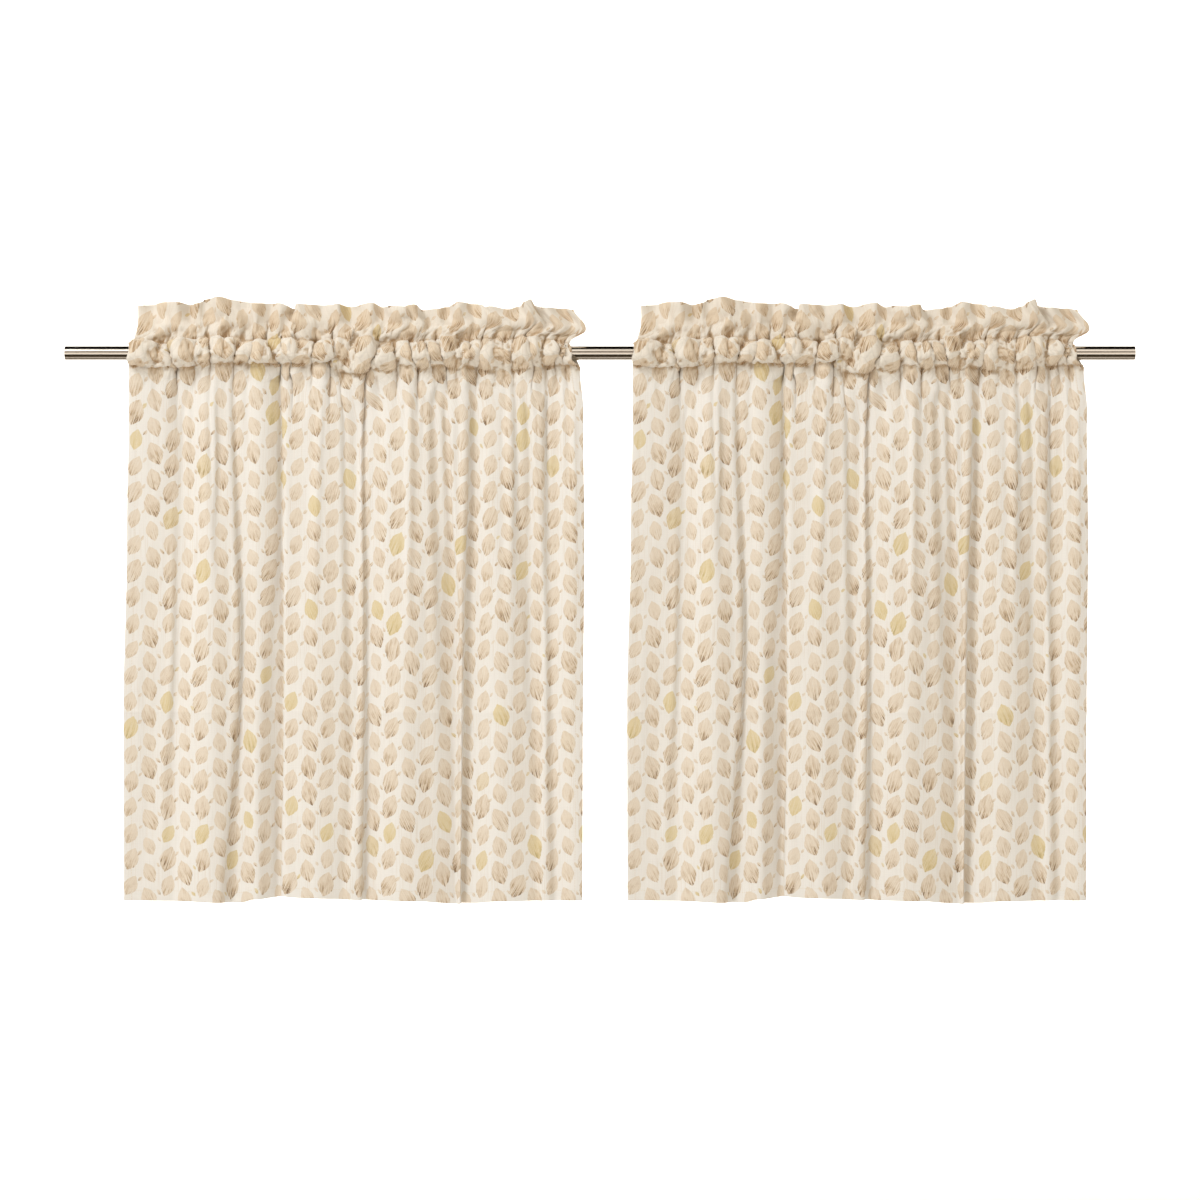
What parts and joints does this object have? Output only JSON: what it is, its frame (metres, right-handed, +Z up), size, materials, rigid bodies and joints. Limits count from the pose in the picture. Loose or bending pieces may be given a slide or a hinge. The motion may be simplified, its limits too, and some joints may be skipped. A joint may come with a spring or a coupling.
{
  "type": "cafe curtain pair on rod",
  "caption": "Gathered rod-pocket cafe curtain panels with a standing ruffled heading, hung side by side on a plain round metal rod.",
  "frame": {"origin": "on the rod's axis at its mid length, where the rod is held level", "axes": "+X along the rod towards the right-hand panel seen from the front, +Z up, the front of the curtains faces -Y"},
  "size_m": [1.348, 0.0393, 0.761],
  "materials": {
    "cloth": "matte",
    "steel": "satin"
  },
  "bodies": {
    "root": {"rod": "steel", "panel_left": "cloth", "panel_right": "cloth"}
  },
  "joints": []
}
